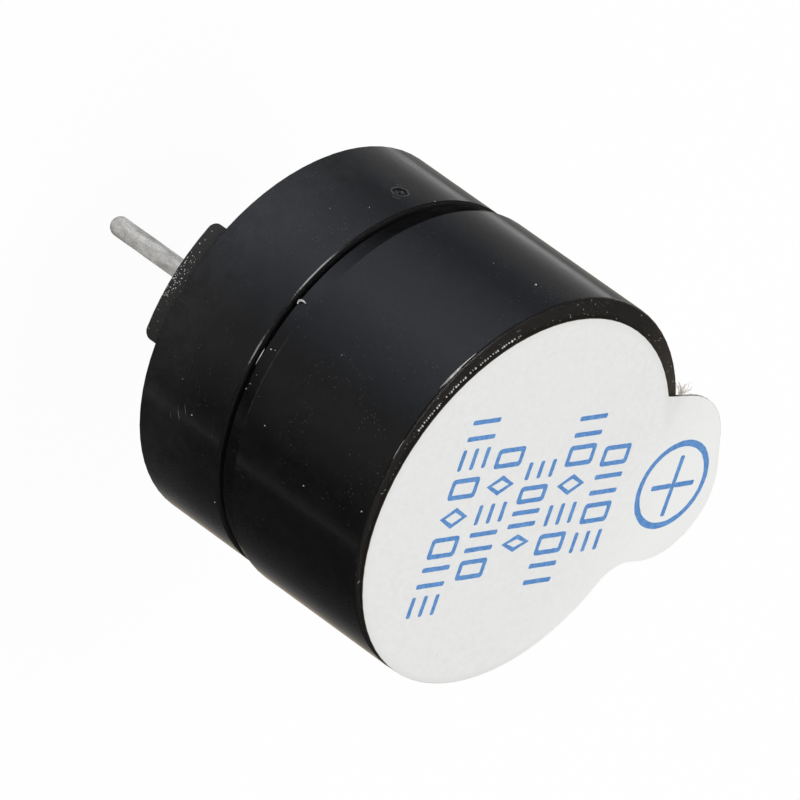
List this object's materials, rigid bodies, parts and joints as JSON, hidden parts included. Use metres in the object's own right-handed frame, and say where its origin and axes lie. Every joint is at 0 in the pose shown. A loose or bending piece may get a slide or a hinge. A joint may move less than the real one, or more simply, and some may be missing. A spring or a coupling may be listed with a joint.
{
  "type": "active buzzer",
  "caption": "Round through-hole active buzzer with a sound hole under a pull-off wash label and two solder pins.",
  "frame": {"origin": "middle of the seating plane, under the standoff pads, on the body's axis", "axes": "+Z out of the label face, pins in line along X with the longer positive pin at +X"},
  "size_m": [0.0143, 0.012, 0.0152],
  "materials": {
    "label": "satin coated label stock",
    "housing": "fine spark-textured moulding",
    "base": "fine spark-textured moulding",
    "spring_steel": "bright rolled",
    "iron": "nickel plated",
    "magnet": "dark sintered",
    "enamelled_wire": "varnished copper wire",
    "laminate": "coated glass laminate",
    "copper": "bare copper",
    "chip_black": "moulded epoxy",
    "tinned_metal": "dull tinned",
    "chip_ceramic": "fired ceramic",
    "solder": "bright solder",
    "resin": "cured black resin"
  },
  "bodies": {
    "root": {"seal_label": "label", "front_housing": "housing", "base_housing": "base", "diaphragm": "spring_steel", "armature_disc": "iron", "ring_magnet": "magnet", "yoke_plate": "iron", "iron_core": "iron", "drive_winding": "enamelled_wire", "feedback_winding": "enamelled_wire", "coil_leads": "enamelled_wire", "circuit_board": "laminate", "board_pads": "copper", "transistor_body": "chip_black", "transistor_leads": "tinned_metal", "resistor_body": "chip_ceramic", "resistor_ends": "tinned_metal", "positive_pin": "tinned_metal", "negative_pin": "tinned_metal", "pin_solder": "solder", "lead_solder": "solder", "potting_resin": "resin"}
  },
  "joints": []
}
